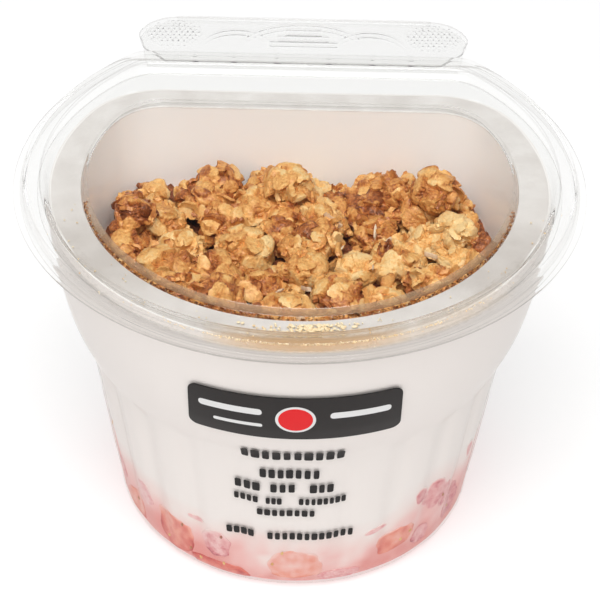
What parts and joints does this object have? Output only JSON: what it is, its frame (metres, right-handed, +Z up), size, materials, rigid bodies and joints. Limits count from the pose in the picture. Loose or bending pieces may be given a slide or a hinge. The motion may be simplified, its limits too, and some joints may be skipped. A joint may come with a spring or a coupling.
{
  "type": "yogurt parfait",
  "caption": "Clear hinged cup with a flat back, yogurt over a strawberry layer, and a clear tray of granola clusters hung under the closed lid.",
  "frame": {"origin": "middle of the cup's flat base, on the axis of its round front", "axes": "+Z up, -Y to the front, +Y to the flat back and the folded hinge strip"},
  "size_m": [0.1, 0.1031, 0.0704],
  "materials": {
    "clear_plastic": "clear gloss",
    "yogurt": "smooth and moist",
    "strawberry_yogurt": "smooth and moist",
    "strawberry": "moist fruit",
    "granola": "dry and toasted",
    "print": "printed"
  },
  "bodies": {
    "cup": {"cup": "clear_plastic", "tray": "clear_plastic", "yogurt": "yogurt", "strawberry_layer": "strawberry_yogurt", "strawberry_piece_1": "strawberry", "strawberry_piece_2": "strawberry", "strawberry_piece_3": "strawberry", "strawberry_piece_4": "strawberry", "strawberry_piece_5": "strawberry", "strawberry_piece_6": "strawberry", "strawberry_piece_7": "strawberry", "strawberry_piece_8": "strawberry", "strawberry_piece_9": "strawberry", "strawberry_piece_10": "strawberry", "strawberry_piece_11": "strawberry", "strawberry_piece_12": "strawberry", "strawberry_piece_13": "strawberry", "granola": "granola", "printed_band": "print"},
    "lid": {"lid": "clear_plastic"}
  },
  "joints": [
    {"name": "lid_hinge", "type": "hinge", "parent": "cup", "child": "lid", "pos_m": [0, 0.0534, 0.06745], "axis": [-1, 0, 0], "range_deg": [0, 180]}
  ]
}
